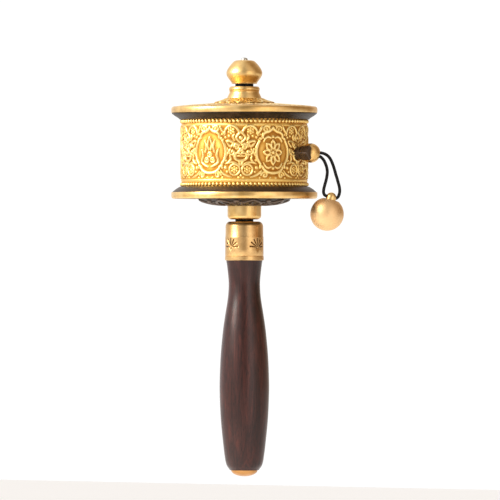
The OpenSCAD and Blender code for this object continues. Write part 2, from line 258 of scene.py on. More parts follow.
def antique_dark():
    """Blackened metal with a brown bloom, rubbed back to bronze on its high places.

    Where raised is over 1 the work is gilded: it runs from 1 in a hollow to 2 on a ridge, and the gilding is
    darker towards the hollows, partly patina and partly painted shade."""
    s = Shader("antique_dark", Metallic=0.9)
    raised = s.attribute("raised")
    cloud = s.noise(s.place(), 210.0, 5.0, 0.6)
    bloom = s.ramp(cloud, [(0.32, (0.016, 0.011, 0.007)), (0.55, (0.038, 0.024, 0.015)),
                           (0.75, (0.070, 0.043, 0.027))])
    rubbed = s.ramp(raised, [(0.52, (0.0, 0.0, 0.0)), (1.0, (0.10, 0.072, 0.056))])
    # gilding darker in the hollows: partly patina, partly painted shade
    gilding = s.ramp(s.math("SUBTRACT", raised, 1.0), [(0.1, (0.50, 0.30, 0.10)), (0.8, (0.92, 0.72, 0.38))])
    gilded = s.math("GREATER_THAN", raised, 1.001)
    s.link(s.mix(gilded, s.mix(1.0, bloom, rubbed, "ADD"), gilding), "Base Color")
    s.link(s.between(cloud, 0.34, 0.56), "Roughness")
    s.bump(s.noise(s.place(), 900.0, 4.0), 0.05 * MM, 0.5)
    return s.material


def engraved_brass():
    """Satin brass with turning lines, dark where the engraving is cut."""
    s = Shader("engraved_brass", Metallic=1.0)
    raised = s.attribute("raised")
    cloud = s.noise(s.place(), 140.0, 4.0)
    plain = s.ramp(cloud, [(0.35, (0.56, 0.33, 0.13)), (0.65, (0.72, 0.46, 0.20))])
    cut = s.ramp(raised, [(0.1, (0.13, 0.075, 0.03)), (0.8, (1.0, 1.0, 1.0))])
    s.link(s.mix(1.0, plain, cut, "MULTIPLY"), "Base Color")
    turned = s.round_lines(3200.0)
    s.link(s.between(turned, 0.24, 0.42), "Roughness")
    s.bump(turned, 0.015 * MM, 0.6)
    return s.material


def grip_wood():
    """Oiled rosewood: dark brown with red streaks along the grain and short open pores."""
    s = Shader("grip_wood", Coat_Weight=0.55, Coat_Roughness=0.30, Specular_IOR_Level=0.10)
    bands = s.noise(s.stretched(1.0, 1.0, 0.10), 260.0, 5.0, 0.62, 1.1)
    streaks = s.noise(s.stretched(1.0, 1.0, 0.06), 900.0, 4.0, 0.6, 0.4)
    pores = s.noise(s.stretched(1.0, 1.0, 0.09), 2600.0, 2.0, 0.5)
    body = s.ramp(bands, [
        (0.26, (0.012, 0.004, 0.003)), (0.43, (0.026, 0.007, 0.005)),
        (0.56, (0.042, 0.011, 0.008)), (0.72, (0.075, 0.018, 0.012)),
    ])
    fine = s.ramp(streaks, [(0.32, (0.62, 0.56, 0.56)), (0.60, (1.10, 1.05, 1.03))])
    dark = s.ramp(pores, [(0.30, (0.30, 0.26, 0.25)), (0.42, (1.0, 1.0, 1.0))])
    colour = s.mix(1.0, s.mix(0.8, body, fine, "MULTIPLY"), dark, "MULTIPLY")
    s.link(colour, "Base Color")
    s.link(s.between(streaks, 0.42, 0.30), "Roughness")
    s.bump(pores, 0.06 * MM, 0.45)
    return s.material


def black_cord():
    """Waxed black braid, a little paler on the back of each strand as a painted sheen."""
    s = Shader("black_cord", Sheen_Weight=0.05, Sheen_Roughness=0.4, Specular_IOR_Level=0.12)
    fibre = s.noise(s.place(), 5200.0, 3.0)
    raised = s.attribute("raised")
    # paler on each strand's back: painted sheen
    colour = s.ramp(raised, [(0.1, (0.001, 0.001, 0.001)), (0.9, (0.010, 0.009, 0.009))])
    gleam = s.ramp(fibre, [(0.3, (0.0, 0.0, 0.0)), (0.7, (0.012, 0.011, 0.011))])
    s.link(s.mix(0.35, colour, gleam, "ADD"), "Base Color")
    s.link(s.between(fibre, 0.38, 0.62), "Roughness")
    s.bump(fibre, 0.03 * MM, 0.5)
    return s.material


def washer_black():
    """Black nylon, scuffed in circles."""
    s = Shader("washer_black", Specular_IOR_Level=0.12)
    turned = s.round_lines(2400.0)
    s.link(s.ramp(turned, [(0.3, (0.002, 0.002, 0.002)), (0.7, (0.010, 0.009, 0.009))]), "Base Color")
    s.link(s.between(turned, 0.35, 0.6), "Roughness")
    s.bump(turned, 0.02 * MM, 0.5)
    return s.material


def steel(name, colour, roughness):
    """Ground steel with fine lines round the spindle."""
    s = Shader(name, Metallic=1.0)
    turned = s.round_lines(5200.0)
    s.link(s.ramp(turned, [(0.3, tuple(c * 0.8 for c in colour)), (0.7, colour)]), "Base Color")
    s.link(s.between(turned, roughness * 0.7, roughness * 1.5), "Roughness")
    s.bump(turned, 0.01 * MM, 0.4)
    return s.material


def scroll_paper():
    """Handmade paper, its wound edges showing at the ends of the roll."""
    s = Shader("scroll_paper", Roughness=0.85)
    layers = s.round_lines(2500.0)
    fibre = s.noise(s.place(), 420.0, 5.0)
    wound = s.ramp(layers, [(0.35, (0.46, 0.34, 0.19)), (0.6, (0.80, 0.70, 0.50))])
    pulp = s.ramp(fibre, [(0.3, (0.75, 0.68, 0.55)), (0.7, (1.0, 1.0, 1.0))])
    s.link(s.mix(0.6, wound, pulp, "MULTIPLY"), "Base Color")
    s.bump(layers, 0.05 * MM, 0.7)
    return s.material


def tie_silk():
    """Red silk thread wound side by side."""
    s = Shader("tie_silk", Sheen_Weight=0.5, Roughness=0.45)
    thread = s.node("ShaderNodeTexWave", {"Vector": s.place(), "Scale": 900.0, "Distortion": 0.6},
                    bands_direction="Z").outputs["Fac"]
    s.link(s.ramp(thread, [(0.1, (0.16, 0.008, 0.010)), (0.8, (0.52, 0.030, 0.035))]), "Base Color")
    s.bump(thread, 0.08 * MM, 0.8)
    return s.material


MATERIALS = {
    "wood_grip": grip_wood(),
    "ferrule_brass": engraved_brass(),
    "spindle_steel": steel("spindle_steel", (0.56, 0.53, 0.48), 0.30),
    "cap_brass": polished_brass("cap_brass", (0.56, 0.28, 0.10), (0.42, 0.20, 0.065), 0.28),
    "polished_gold": polished_brass("polished_gold"),
    "relief_gold": relief_gold(),
    "antique_dark": antique_dark(),
    "black_washer": washer_black(),
    "bearing_steel": steel("bearing_steel", (0.66, 0.66, 0.67), 0.18),
    "nut_brass": polished_brass("nut_brass", (0.72, 0.52, 0.24), (0.55, 0.37, 0.14), 0.30),
    "scroll_paper": scroll_paper(),
    "tie_silk": tie_silk(),
    "cord_black": black_cord(),
}


# ---------------- mesh helpers

def new_piece(name, points, faces, slot, body, stands_for, raised=None, sharp_turn=32):
    """A closed mesh in the row frame, with a record slot's material.

    It rides on a body, or on none. Edges sharper than sharp_turn degrees stay crisp."""
    mesh = bpy.data.meshes.new(name)
    mesh.from_pydata([tuple(p) for p in points], [], [tuple(f) for f in faces])
    mesh.validate()
    mesh.shade_smooth()
    mesh.set_sharp_from_angle(angle=math.radians(sharp_turn))
    if raised is not None:
        layer = mesh.attributes.new("raised", "FLOAT", "POINT")
        layer.data.foreach_set("value", np.asarray(raised, np.float32))
    piece = bpy.data.objects.new(name, mesh)
    bpy.context.scene.collection.objects.link(piece)
    mesh.materials.append(MATERIALS[slot])
    if body:
        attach(piece, body)
    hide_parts(*stands_for)
    return piece


def grid_faces(rows, columns, start=0, wrap_rows=False):
    """Quads over rows of points, each row closed on itself."""
    faces = []
    for i in range(rows if wrap_rows else rows - 1):
        a = start + i * columns
        b = start + (i + 1) % rows * columns
        for k in range(columns):
            n = (k + 1) % columns
            faces.append((a + k, a + n, b + n, b + k))
    return faces


def spun(outline, segments=SEGMENTS):
    """Points and faces of an outline of (radius, height) spun about the spindle.

    An outline that starts and ends on the spindle is a solid; any other is closed on itself."""
    solid = outline[0][0] == 0
    rings = outline[1:-1] if solid else outline
    turns = np.linspace(0, 2 * math.pi, segments, endpoint=False)
    unit = np.stack([np.cos(turns), np.sin(turns)], axis=1)
    points = [(r * c, r * s, z) for r, z in rings for c, s in unit]
    faces = grid_faces(len(rings), segments, wrap_rows=not solid)
    if solid:
        low = len(points)
        points += [(0, 0, outline[0][1]), (0, 0, outline[-1][1])]
        last = (len(rings) - 1) * segments
        for k in range(segments):
            n = (k + 1) % segments
            faces.append((low, n, k))
            faces.append((low + 1, last + k, last + n))
    return points, faces


def arc(x, z, rx, rz, start, end, steps=8):
    """Points of an elliptical arc about (x, z), angles in degrees."""
    turns = np.radians(np.linspace(start, end, steps + 1))
    return [(x + rx * math.cos(t), z + rz * math.sin(t)) for t in turns]


def smooth_curve(points, steps):
    """A curve through the points with the given number of steps between neighbours."""
    p = np.array(points, float)
    before = np.vstack([p[:1], p[:-1]])
    after = np.vstack([p[1:], p[-1:]])
    pull = (after - before) / 2
    made = []
    for i in range(len(p) - 1):
        for t in np.linspace(0, 1, steps, endpoint=False):
            made.append((2 * t**3 - 3 * t**2 + 1) * p[i] + (t**3 - 2 * t**2 + t) * pull[i]
                        + (3 * t**2 - 2 * t**3) * p[i + 1] + (t**3 - t**2) * pull[i + 1])
    made.append(p[-1])
    return np.array(made)


# ---------------- the free cord

CORD_D = 1.7 * MM
# The bead's centre, and the direction in which the cord leaves it.
BEAD = Vector((40.1 * MM, 4.9 * MM, BUTT + 177.6 * MM))
CORD_OUT = Vector((math.cos(math.radians(45)), math.sin(math.radians(45)), 0))
# The cord's centreline: distance from the bead's centre and height above the butt, in millimetres.
CORD_ROUTE_MM = [
    (3, 177.78), (4.6, 177.8), (6.3, 177.6), (8, 177.1), (9.6, 176.1), (10.9, 174.6), (11.9, 172.7),
    (12.8, 170.4), (13.5, 168.2), (14.1, 166), (14.8, 163.8), (15.4, 161.7), (16, 159.6), (16.3, 157.6),
    (16.2, 155.7), (15.5, 153.8), (14.3, 152.8), (12.9, 153.06), (11.58, 153.4), (10.3, 153.73),
    (8.9, 154.1), (7.8, 154.7), (7.25, 156), (7.35, 157.7), (7.9, 160), (8.6, 162.4), (9.1, 164.8),
    (9.35, 167.2), (9.1, 169.4), (8.4, 171.6), (7.4, 173.6), (6.1, 175.1), (4.6, 175.95), (3, 176.02),
]


def in_cord_plane(out_mm, height_mm):
    """A point of the upright plane that the cord hangs in."""
    place = BEAD + CORD_OUT * out_mm * MM
    return Vector((place.x, place.y, BUTT + height_mm * MM))


# Where the cord passes through the weight's eye.
EYE = in_cord_plane(11.58, 153.4)


def braided_tube(route, diameter, sides, rings_per_step):
    """A tube along a route in the cord's plane, with a two-way braid raised on it."""
    line = smooth_curve(route, rings_per_step)
    step = np.gradient(line, axis=0)
    step /= np.linalg.norm(step, axis=1)[:, None]
    length = np.concatenate([[0], np.cumsum(np.linalg.norm(np.diff(line, axis=0), axis=1))])
    across = np.array(Vector((0, 0, 1)).cross(CORD_OUT))
    out = np.cross(across, step)
    turns = np.linspace(0, 2 * math.pi, sides, endpoint=False)
    pitch = 4.2 * MM
    depth = 0.08 * MM
    strands = 6
    around = strands * turns[None, :] / 2
    along = strands * math.pi * length[:, None] / pitch
    weave = np.maximum(np.abs(np.cos(around + along)), np.abs(np.cos(around - along)))
    swell = diameter / 2 + depth * (weave - 0.85)
    sideways = np.cos(turns)[None, :, None] * out[:, None, :] + np.sin(turns)[None, :, None] * across
    points = line[:, None, :] + swell[..., None] * sideways
    faces = grid_faces(len(line), sides)
    first = tuple(range(sides))[::-1]
    last = tuple(range((len(line) - 1) * sides, len(line) * sides))
    return points.reshape(-1, 3), [first, *faces, last], weave.ravel(), line, length[-1]


def make_cord():
    route = [tuple(in_cord_plane(*row)) for row in CORD_ROUTE_MM]
    points, faces, weave, line, length = braided_tube(route, CORD_D, 24, 8)
    cord = new_piece("braided_cord", points, [f[::-1] for f in faces], "cord_black", None,
                     ["cord_loop"], np.clip((weave - 0.6) / 0.4, 0, 1), 60)
    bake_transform(cord)


make_cord()


# ---------------- turned parts

# The grip's outline: each row is a fraction of its length and a fraction of its largest radius.
GRIP_OUTLINE = [
    (0, 0.587), (0.007, 0.626), (0.0165, 0.686), (0.031, 0.739), (0.059, 0.787), (0.126, 0.858),
    (0.241, 0.9535), (0.355, 0.998), (0.4315, 1), (0.546, 0.96), (0.6605, 0.871), (0.737, 0.78),
    (0.813, 0.677), (0.863, 0.6395), (0.906, 0.6395), (0.966, 0.6915), (1, 0.734),
]


CAP_HEIGHT = 3.5 * MM


def turned(name, outline, slot, body, node, segments=SEGMENTS):
    """A plain part spun from its outline, in the place of one CAD node."""
    points, faces = spun(outline, segments)
    new_piece(name, points, faces, slot, body, [node])


def make_grip():
    foot = BUTT + CAP_HEIGHT
    length = base("ferrule") - foot
    wide, seat = radius("handle_grip"), top("handle_grip")
    tenon = 8.6 * MM
    side = [(wide * r, foot + length * f) for f, r in smooth_curve(GRIP_OUTLINE, 9)]
    outline = [(0, foot)] + side + [(tenon, side[-1][1]), (tenon, seat), (0, seat)]
    turned("turned_grip", outline, "wood_grip", "handle", "handle_grip")


def make_end_cap():
    rim = radius("end_cap")
    seat = BUTT + CAP_HEIGHT
    outline = [(0, BUTT)] + arc(0, seat, rim, CAP_HEIGHT, -84, -6, 14)
    outline += [(rim, BUTT + CAP_HEIGHT * 0.97), (rim * 0.98, seat + 0.1 * MM), (0, seat + 0.1 * MM)]
    turned("domed_cap", outline, "cap_brass", "handle", "end_cap")


# The finial's outline: radius and height above the butt, in millimetres.
FINIAL_OUTLINE_MM = [
    (7.1, 216.5), (7.6, 217.3), (8.35, 218.3), (9.1, 219.4), (9.65, 220.45), (9.87, 221.6), (9.75, 222.7),
    (9.3, 223.8), (8.65, 224.9), (7.85, 226), (6.95, 227.05), (5.9, 228.1), (5.2, 228.55), (4.2, 228.8),
    (2.6, 229), (1.95, 229.02),
]


def make_finial():
    low = base("finial")
    bore = 3.05 * MM
    tip_hole = 1.85 * MM
    outline = [(bore, low + 0.02 * MM), (6.7 * MM, low), (7.0 * MM, low + 0.12 * MM)]
    outline += outline_of(smooth_curve(FINIAL_OUTLINE_MM, 5))
    outline += [(tip_hole, low + 12.9 * MM), (tip_hole, low + 3 * MM), (bore, low + 3 * MM)]
    turned("onion_finial", outline, "polished_gold", "handle", "finial")


def make_collar():
    """A collar with a waist, and a rounded lip above it."""
    low = base("lotus_ring") + 2.9 * MM
    lip = top("top_collar")
    outline = outline_of([(6.5, -6)], lip)
    outline += outline_of([(9.45, 0), (9.4, 0.35), (9.15, 0.8), (8.75, 1.7), (8.3, 2.6), (8.12, 3.1),
                           (8.14, 3.5), (8.32, 3.75)], low)
    outline += arc(7.85 * MM, low + 4.9 * MM, 0.62 * MM, 1.0 * MM, -60, 60, 10)
    outline += outline_of([(7.9, -0.12), (7.6, 0), (6.65, 0), (6.5, -0.15)], lip)
    turned("waisted_collar", outline, "polished_gold", "drum", "top_collar")


def make_hub():
    low, flange = base("bottom_hub"), base("underside_rosette")
    wide = radius("bottom_hub")
    corner = 2.2 * MM
    bore = 6.5 * MM
    outline = [(bore, flange), (bore, low + 0.2 * MM), (bore + 0.2 * MM, low)]
    outline += arc(wide - corner, low + corner, corner, corner, -90, 0, 12)
    outline += [(wide, flange - 0.25 * MM), (wide - 0.2 * MM, flange)]
    turned("rounded_hub", outline, "polished_gold", "drum", "bottom_hub")


def make_rim_band(name, node, next_to_barrel):
    """A band with a crisp edge next to the barrel and a rounded one away from it."""
    wide, seat = radius(node), 38.9 * MM
    tall = top(node) - base(node)
    section = [(seat, 0), (wide - 0.32 * MM, 0), (wide - 0.1 * MM, 0.08 * MM), (wide, 0.34 * MM)]
    section += arc(seat + 0.1 * MM, tall - 1.6 * MM, wide - seat - 0.1 * MM, 1.6 * MM, 0, 90, 14)
    section += [(seat, tall)]
    upward = next_to_barrel == base(node)
    outline = [(r, next_to_barrel + (up if upward else -up)) for r, up in section]
    turned(name, outline if upward else outline[::-1], "polished_gold", "drum", node, 360)


def make_washer(name, node):
    """A washer with a narrow step towards its bearing: on top of the lower one, under the upper."""
    low, high = base(node), top(node)
    wide = radius(node)
    soft = 0.18 * MM
    neck = 4.1 * MM
    bore = 3.0 * MM
    if node == "upper_spacer":
        step = low + 0.5 * MM
        outline = [(bore, high), (bore, low), (neck, low), (neck, step), (wide - soft, step),
                   (wide, step + soft), (wide, high - soft), (wide - soft, high)]
    else:
        step = high - 0.4 * MM
        outline = [(bore, high), (bore, low), (wide - soft, low), (wide, low + soft), (wide, step - soft),
                   (wide - soft, step), (neck, step), (neck, high)]
    turned(name, outline, "black_washer", "handle", node, 128)


make_grip()
make_end_cap()
make_finial()
make_collar()
make_hub()
make_rim_band("upper_rim", "top_rim_band", base("top_rim_band"))
make_rim_band("lower_rim", "bottom_rim_band", top("bottom_rim_band"))
make_washer("lower_washer", "lower_spacer")
make_washer("upper_washer", "upper_spacer")


# ---------------- relief drawn in strokes

class Relief:
    """A sheet of heights in millimetres over (u, v), u wrapping round the part.

    Every call raises rounded work on the sheet, and boldness widens the strokes."""

    def __init__(self, around_mm, tall_mm, columns, rows, boldness=1.0):
        self.around = around_mm
        self.boldness = boldness
        self.u = np.linspace(0, around_mm, columns, endpoint=False)[None, :]
        self.v = np.linspace(-tall_mm / 2, tall_mm / 2, rows)[:, None]
        self.height = np.zeros((rows, columns))

    def _near(self, u, v, reach):
        """The columns and rows within reach of a point, and their offsets from it."""
        du = (self.u[0] - u + self.around / 2) % self.around - self.around / 2
        columns = np.nonzero(np.abs(du) < reach)[0]
        rows = np.nonzero(np.abs(self.v[:, 0] - v) < reach)[0]
        return rows, columns, du[columns][None, :], (self.v[rows, 0] - v)[:, None]

    def _raise(self, rows, columns, made):
        window = np.ix_(rows, columns)
        self.height[window] = np.maximum(self.height[window], made)

    def segment(self, a, b, wide_a, wide_b, high):
        """A round-backed bar from a to b, whose half width goes from wide_a to wide_b."""
        middle = ((a[0] + b[0]) / 2, (a[1] + b[1]) / 2)
        long = math.hypot(b[0] - a[0], b[1] - a[1])
        reach = long / 2 + max(wide_a, wide_b) + 0.1
        rows, columns, du, dv = self._near(*middle, reach)
        dx, dy = b[0] - a[0], b[1] - a[1]
        ax, ay = -dx / 2, -dy / 2
        t = np.clip(((du - ax) * dx + (dv - ay) * dy) / max(long**2, 1e-9), 0, 1)
        away = np.hypot(du - ax - t * dx, dv - ay - t * dy)
        wide = wide_a + (wide_b - wide_a) * t
        self._raise(rows, columns, high * np.sqrt(np.clip(1 - (away / wide) ** 2, 0, 1)))

    def stroke(self, points, wide=0.5, high=0.6, taper=(1.0, 1.0), steps=5):
        """A smooth raised line through the points; taper scales its width at the two ends."""
        line = smooth_curve(points, steps)
        share = np.linspace(0, 1, len(line))
        swell = np.interp(share, (0, 0.3, 0.7, 1), (taper[0], 1, 1, taper[1])) * wide * self.boldness
        for i in range(len(line) - 1):
            self.segment(line[i], line[i + 1], swell[i], swell[i + 1], high)

    def dome(self, u, v, r, high):
        rows, columns, du, dv = self._near(u, v, r)
        self._raise(rows, columns, high * np.sqrt(np.clip(1 - (du**2 + dv**2) / r**2, 0, 1)))

    def ring(self, u, v, r, wide, high):
        rows, columns, du, dv = self._near(u, v, r + wide)
        away = np.abs(np.hypot(du, dv) - r) / wide
        self._raise(rows, columns, high * np.sqrt(np.clip(1 - away**2, 0, 1)))

    def flower(self, u, v, r, high):
        """A small round flower: an eye and six petals about it."""
        self.dome(u, v, r * 0.34, high)
        for k in range(6):
            t = 2 * math.pi * (k + 0.5) / 6
            self.dome(u + r * 0.68 * math.cos(t), v + r * 0.68 * math.sin(t), r * 0.30, high * 0.8)

    def curl(self, u, v, r, start, turns, wide, high):
        """A spiral that winds in from radius r and start degrees; turns below 0 wind it clockwise."""
        share = np.linspace(0, 1, 15)
        angles = math.radians(start) + 2 * math.pi * turns * share
        radii = r * (1 - 0.82 * share)
        line = [(u + q * math.cos(t), v + q * math.sin(t)) for q, t in zip(radii, angles)]
        self.stroke(line, wide, high, (1.0, 1.1), 2)

    def raised(self):
        """How far each point stands above its surroundings, from 0 in a hollow to 1 on a ridge."""
        reach = 3
        span = 2 * reach + 1
        soft = self.height.copy()
        rows = len(soft)
        for _ in range(4):
            soft = sum(np.roll(soft, k, axis=1) for k in range(-reach, reach + 1)) / span
            padded = np.pad(soft, ((reach, reach), (0, 0)), mode="edge")
            soft = sum(padded[k:k + rows] for k in range(span)) / span
        stand = (self.height - soft) * 1.15 + self.height * 0.42
        return np.clip(0.30 + stand, 0, 1)


def resampled(path, rows):
    """The path's points respaced evenly, and the outward direction at each."""
    p = np.array(path, float)
    along = np.concatenate([[0], np.cumsum(np.linalg.norm(np.diff(p, axis=0), axis=1))])
    at = np.linspace(0, along[-1], rows)
    even = np.stack([np.interp(at, along, p[:, k]) for k in (0, 1)], axis=1)
    step = np.gradient(even, axis=0)
    step /= np.linalg.norm(step, axis=1)[:, None]
    return even, np.stack([step[:, 1], -step[:, 0]], axis=1)


def embossed(name, path, rest, relief, scale, slot, body, stands_for, plain=0.5, cut=False, gilt=False,
             sharp_turn=50):
    """A turned part whose outline along path carries the relief; rest closes the outline.

    The relief stands out by scale times its drawn height, inwards below 0. On rest, raised is plain."""
    rows, columns = relief.height.shape
    even, outward = resampled(path, rows)
    turns = np.linspace(0, 2 * math.pi, columns, endpoint=False)
    push = relief.height * scale * MM
    out = even[:, 0][:, None] + push * outward[:, 0][:, None]
    up = even[:, 1][:, None] + push * outward[:, 1][:, None]
    raised = relief.raised()
    if cut:
        raised = np.clip(1 - relief.height * 1.6, 0, 1)
    if gilt:
        raised = 1.01 + raised * 0.98
    extra = np.array(rest, float)
    out = np.vstack([out, np.repeat(extra[:, :1], columns, axis=1)])
    up = np.vstack([up, np.repeat(extra[:, 1:], columns, axis=1)])
    raised = np.vstack([raised, np.full((len(extra), columns), plain)])
    points = np.stack([out * np.cos(turns), out * np.sin(turns), up], axis=-1).reshape(-1, 3)
    faces = grid_faces(rows + len(extra), columns, wrap_rows=True)
    new_piece(name, points, faces, slot, body, stands_for, raised.ravel(), sharp_turn)


# ---------------- the drum's barrel

def mirrored(relief, u, points, wide, high, taper=(1.0, 1.0)):
    """A stroke and its mirror image, about the upright line at u."""
    for side in (1, -1):
        relief.stroke([(u + side * x, y) for x, y in points], wide, high, taper)


def paired_domes(relief, u, spots):
    for x, y, r, high in spots:
        for side in (1, -1):
            relief.dome(u + side * x, y, r, high)


def cartouche(relief, u):
    """The ogee-topped frame of a medallion, in four curved bars with a bead between each."""
    bar, high = 0.68, 0.85
    side = [(7.9, 6.2), (9.3, 3.4), (9.8, 0), (9.2, -3.4), (7.5, -6.2)]
    ogee = [(6.1, 8.2), (5.9, 9.8), (4.6, 10.9), (2.5, 11.5), (0.9, 12.5), (0, 13.7)]
    foot = [(6.4, -7.7), (5.1, -9.6), (2.9, -10.9), (0, -11.3)]
    mirrored(relief, u, side, bar, high, (0.8, 0.8))
    mirrored(relief, u, ogee, bar, high)
    mirrored(relief, u, foot, bar, high, (0.8, 1.0))
    paired_domes(relief, u, [(7.3, 7.5, 0.85, 0.8), (7.3, -7.3, 0.85, 0.8)])


def lotus_spray(relief, u):
    """A lotus on a straight stem between two curled leaves."""
    relief.stroke([(u, -8.8), (u, -0.4)], 0.55, 0.8, (1.0, 0.8))
    mirrored(relief, u, [(0, 0), (2.6, 2.0), (2.0, 5.4), (0, 8.6)], 0.58, 0.85)
    mirrored(relief, u, [(1.4, -0.6), (4.6, 0.6), (5.2, 4.2)], 0.58, 0.75, (1, 0.4))
    for side in (1, -1):
        relief.curl(u + side * 4.1, -3.7, 2.2, 90 + side * 60, side * 1.1, 0.5, 0.75)
    relief.dome(u, 3.6, 1.1, 0.8)


def flaming_jewel(relief, u):
    """Three round jewels in a wreath of flame."""
    for x, y in ((0, -1.2), (1.9, -4.2), (-1.9, -4.2)):
        relief.ring(u + x, y, 1.25, 0.42, 0.8)
        relief.dome(u + x, y, 0.75, 0.7)
    mirrored(relief, u, [(1.0, -7.9), (5.2, -5.4), (4.4, -1.2), (5.6, 2.4)], 0.62, 0.85, (0.6, 0.3))
    mirrored(relief, u, [(3.0, 0.2), (2.2, 3.4), (3.2, 6.8)], 0.56, 0.8, (0.8, 0.3))
    mirrored(relief, u, [(0.6, 1.6), (1.3, 4.6), (0, 8.8)], 0.55, 0.85, (0.9, 0.5))


def blossom(relief, u):
    """An open flower of eight pointed petals, with a bud and two leaves above it and below."""
    relief.dome(u, 0, 1.2, 0.9)
    # half a petal's edge: distance from the flower's middle, and radians off the petal's own line
    edge = [(1.7, 0.10), (3.4, 0.32), (4.6, 0.24), (6.0, 0)]
    for k in range(8):
        turn = math.pi * k / 4
        for side in (1, -1):
            line = [(u + 0.92 * r * math.sin(turn + side * t), 1.12 * r * math.cos(turn + side * t))
                    for r, t in edge]
            relief.stroke(line, 0.46, 0.8, (0.7, 0.9))
    for up in (1, -1):
        relief.dome(u, 8.6 * up, 0.85, 0.85)
        leaf = [(1.2, 7.9 * up), (3.0, 8.5 * up), (4.6, 7.6 * up), (5.6, 5.8 * up)]
        mirrored(relief, u, leaf, 0.5, 0.75, (0.6, 0.5))


def guardian_mask(relief, u):
    """A mythical lion mask between scrolls: crown above, beard and two flower roundels below."""
    thin = 0.46
    # arches, leaves and flowers above, scrolls at the corners, roundels below
    arch = [(9.5, 9.2), (8.4, 12.8), (5.5, 14.6), (2.6, 13.6), (0.8, 10.9)]
    mirrored(relief, u, arch, 0.55, 0.75, (0.5, 0.9))
    mirrored(relief, u, [(12.0, 14.4), (10.9, 12.2), (9.2, 10.3)], 0.6, 0.7, (0.3, 1.0))
    for side in (1, -1):
        relief.flower(u + side * 5.4, 11.8, 2.1, 0.7)
        relief.curl(u + side * 14.2, 12.7, 2.1, 90 - side * 90, side * 1.2, thin, 0.65)
        relief.ring(u + side * 3.5, -9.5, 2.9, 0.5, 0.75)
        relief.flower(u + side * 3.5, -9.5, 2.1, 0.65)
        relief.curl(u + side * 13.2, -12.4, 2.0, 90 + side * 90, -side * 1.2, thin, 0.65)
        relief.curl(u + side * 4.7, 0.1, 1.9, 90 - side * 40, -side * 1.1, thin, 0.75)
        relief.ring(u + side * 2.15, 2.9, 0.95, 0.36, 0.85)
    # ears like pointed leaves
    mirrored(relief, u, [(3.9, 5.3), (6.2, 6.2), (8.3, 6.0)], 0.6, 0.75, (1, 0.3))
    mirrored(relief, u, [(4.2, 4.9), (5.6, 3.2), (8.0, 5.4)], 0.5, 0.7, (0.8, 0.3))
    # pupils and brows
    paired_domes(relief, u, [(2.15, 2.9, 0.5, 0.9)])
    mirrored(relief, u, [(4.0, 3.0), (2.7, 4.7), (0.7, 4.0)], 0.5, 0.85, (0.6, 0.9))
    # crown jewel and its flames
    mirrored(relief, u, [(0, 11.3), (1.9, 9.2), (2.5, 7.6), (0, 5.0)], 0.5, 0.8)
    relief.dome(u, 7.9, 1.15, 0.85)
    mirrored(relief, u, [(3.6, 10.0), (4.4, 8.4), (3.5, 6.6)], 0.48, 0.7, (0.3, 0.9))
    # nose, muzzle, teeth, lips and beard
    relief.dome(u, 1.5, 1.35, 1.0)
    paired_domes(relief, u, [(1.05, 0.5, 0.8, 0.85)])
    mirrored(relief, u, [(0, -0.9), (2.0, -0.3), (3.9, -1.3)], 0.48, 0.85, (1, 0.6))
    for k in range(6):
        relief.dome(u + (k - 2.5) * 0.82, -2.0, 0.46, 0.85)
    mirrored(relief, u, [(3.0, -1.5), (3.2, -2.4), (2.7, -3.2)], 0.42, 0.8, (1, 0.3))
    mirrored(relief, u, [(4.1, -1.9), (2.6, -3.9), (0, -4.6)], 0.52, 0.85, (0.5, 1))
    mirrored(relief, u, [(1.0, -4.6), (0.7, -5.9), (0, -7.0)], 0.5, 0.75, (1, 0.3))
    # side flames, and scrolls that join the mask to the cartouches
    mirrored(relief, u, [(7.7, 2.4), (6.9, 0.6), (7.9, -1.6)], thin, 0.7, (0.3, 0.8))
    mirrored(relief, u, [(6.1, -1.9), (5.7, -3.9), (7.0, -5.3)], thin, 0.7, (0.5, 0.3))
    mirrored(relief, u, [(8.6, -6.2), (6.4, -5.5), (3.5, -5.7), (0.8, -7.2)], 0.5, 0.7, (0.4, 0.8))
    mirrored(relief, u, [(11.6, -9.7), (10.0, -11.6), (7.8, -12.8), (5.2, -13.6)], thin, 0.65, (0.3, 0.4))
    paired_domes(relief, u, [
        (8.3, -4.4, 0.7, 0.7), (8.7, -8.4, 0.85, 0.7), (7.7, -10.6, 0.6, 0.6), (10.6, -8.3, 0.7, 0.65),
        (8.6, 8.2, 0.65, 0.65), (6.6, 8.9, 0.6, 0.6), (10.7, 9.8, 0.6, 0.6), (0.0, -12.6, 0.7, 0.65),
        (9.9, 7.0, 0.5, 0.55), (12.9, 9.9, 0.55, 0.55), (16.4, 14.2, 0.6, 0.6), (16.6, -13.9, 0.6, 0.6),
        (1.3, -13.7, 0.5, 0.5), (10.4, -13.9, 0.55, 0.55),
    ])


def make_barrel():
    around = 2 * math.pi * BARREL_R / MM
    tall = (BARREL_TOP - BARREL_BASE) / MM
    relief = Relief(around, tall, 820, 114, 1.2)
    sixth = around / 6
    motifs = [lotus_spray, flaming_jewel, blossom]
    for k in range(6):
        guardian_mask(relief, k * sixth)
        cartouche(relief, (k + 0.5) * sixth)
        motifs[k % 3](relief, (k + 0.5) * sixth)
    edge_line = 15.0
    away = np.abs(np.abs(relief.v) - edge_line) / 0.4
    relief.height = np.maximum(relief.height, 0.35 * np.sqrt(np.clip(1 - away**2, 0, 1)))
    bead_groove = np.abs(relief.v[:, 0]) > tall / 2 - 2.4
    relief.height[bead_groove] = -0.22
    ground = BARREL_R - 0.42 * MM
    bore = BARREL_R - 1.4 * MM
    embossed("embossed_barrel", [(ground, BARREL_BASE), (ground, BARREL_TOP)],
             [(bore, BARREL_TOP), (bore, BARREL_BASE)], relief, 0.85, "relief_gold", "drum", ["drum_barrel"],
             sharp_turn=75)


